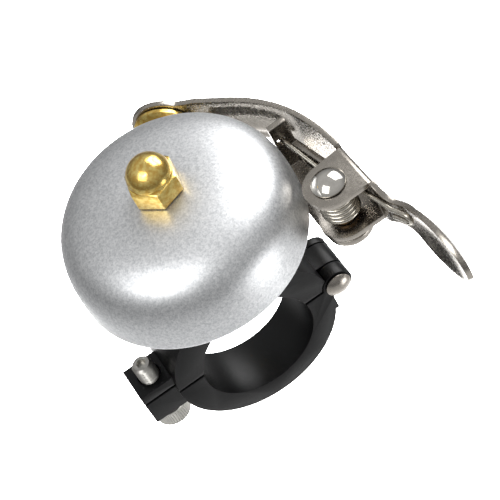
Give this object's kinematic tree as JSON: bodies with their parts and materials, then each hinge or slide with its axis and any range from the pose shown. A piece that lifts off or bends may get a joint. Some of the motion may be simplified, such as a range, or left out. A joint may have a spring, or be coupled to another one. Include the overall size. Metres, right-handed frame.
{
  "type": "bicycle bell",
  "caption": "Dome bicycle bell on a hinged handlebar clamp, rung by a sprung thumb lever with a brass striker.",
  "frame": {"origin": "centre of the handlebar bore, halfway along the clamp's width", "axes": "+Z along the dome's axis away from the handlebar, +Y along the handlebar, +X from the clamp screw to the clamp hinge"},
  "size_m": [0.0559, 0.0673, 0.0663],
  "materials": {
    "blasted_aluminium": "bead blasted, clear anodised",
    "brass": "polished",
    "nickel": "tumbled nickel plate",
    "zinc_steel": "zinc plate",
    "spring_steel": "bright drawn wire",
    "clamp_black": "satin black coat",
    "nylon": "moulded"
  },
  "bodies": {
    "base": {"clamp_upper_half": "clamp_black", "hinge_pin": "nickel", "centre_bolt": "zinc_steel", "mounting_bracket": "nickel", "lock_washer": "zinc_steel", "stud_lock_nut": "zinc_steel", "bell_spacer": "nickel", "bell_seat_washer": "nylon", "bell_dome": "blasted_aluminium", "acorn_nut": "brass", "pivot_rivet": "nickel", "pivot_bush": "brass", "pivot_washer": "nylon", "return_spring": "spring_steel"},
    "lever": {"striker_lever": "nickel", "striker_button": "brass"},
    "lower_jaw": {"clamp_lower_half": "clamp_black"},
    "screw_carrier": {"screw_washer": "zinc_steel"},
    "screw": {"clamp_screw": "zinc_steel"}
  },
  "joints": [
    {"name": "lever_swing", "type": "hinge", "parent": "base", "child": "lever", "pos_m": [0.0234, -0.0124, 0.0295], "axis": [0, 0, -1], "range_deg": [-1.5, 24], "stiffness_Nm_per_rad": 0.03, "deforming": ["return_spring"]},
    {"name": "screw_travel", "type": "slide", "parent": "base", "child": "screw_carrier", "axis": [0, 0, -1], "range_m": [0, 0.0035]},
    {"name": "screw_turn", "type": "hinge", "parent": "screw_carrier", "child": "screw", "pos_m": [-0.01885, 0, -0.006], "axis": [0, 0, -1], "range_deg": [0, 1800]},
    {"name": "jaw_swing", "type": "hinge", "parent": "base", "child": "lower_jaw", "pos_m": [0.0177, 0, 0.0018], "axis": [0, -1, 0], "range_deg": [0, 4.7]}
  ],
  "couplings": [
    {"joint": "screw_turn", "follows": "screw_travel", "rad_per_m": 8975},
    {"joint": "jaw_swing", "follows": "screw_travel", "rad_per_m": 22.94}
  ]
}
